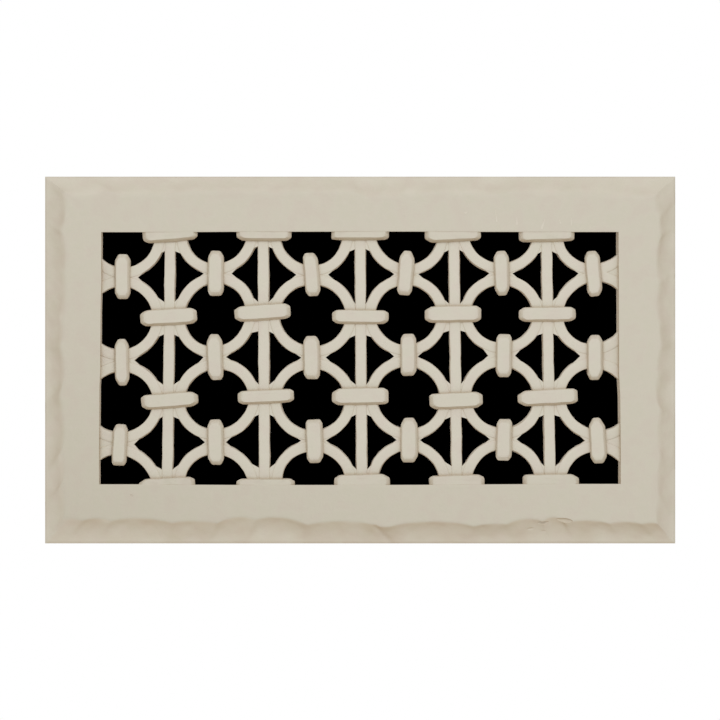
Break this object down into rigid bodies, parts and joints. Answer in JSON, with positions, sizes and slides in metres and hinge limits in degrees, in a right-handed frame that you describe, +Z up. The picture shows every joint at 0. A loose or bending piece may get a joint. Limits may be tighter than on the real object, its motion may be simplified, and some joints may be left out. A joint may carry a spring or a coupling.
{
  "type": "decorative vent cover",
  "caption": "Broad rectangular frame with a scooped outer edge around a lattice of upright bars and touching rings tied by collars, fixed over a duct opening.",
  "frame": {"origin": "middle of the frame's outline in the plane of the flat back, on the back of the middle bar", "axes": "+Y into the wall, +Z up, +X to the right of someone facing the cover"},
  "size_m": [0.3676, 0.012, 0.2144],
  "materials": {
    "cast_resin": "matte"
  },
  "bodies": {
    "root": {"vent_cover": "cast_resin"}
  },
  "joints": []
}
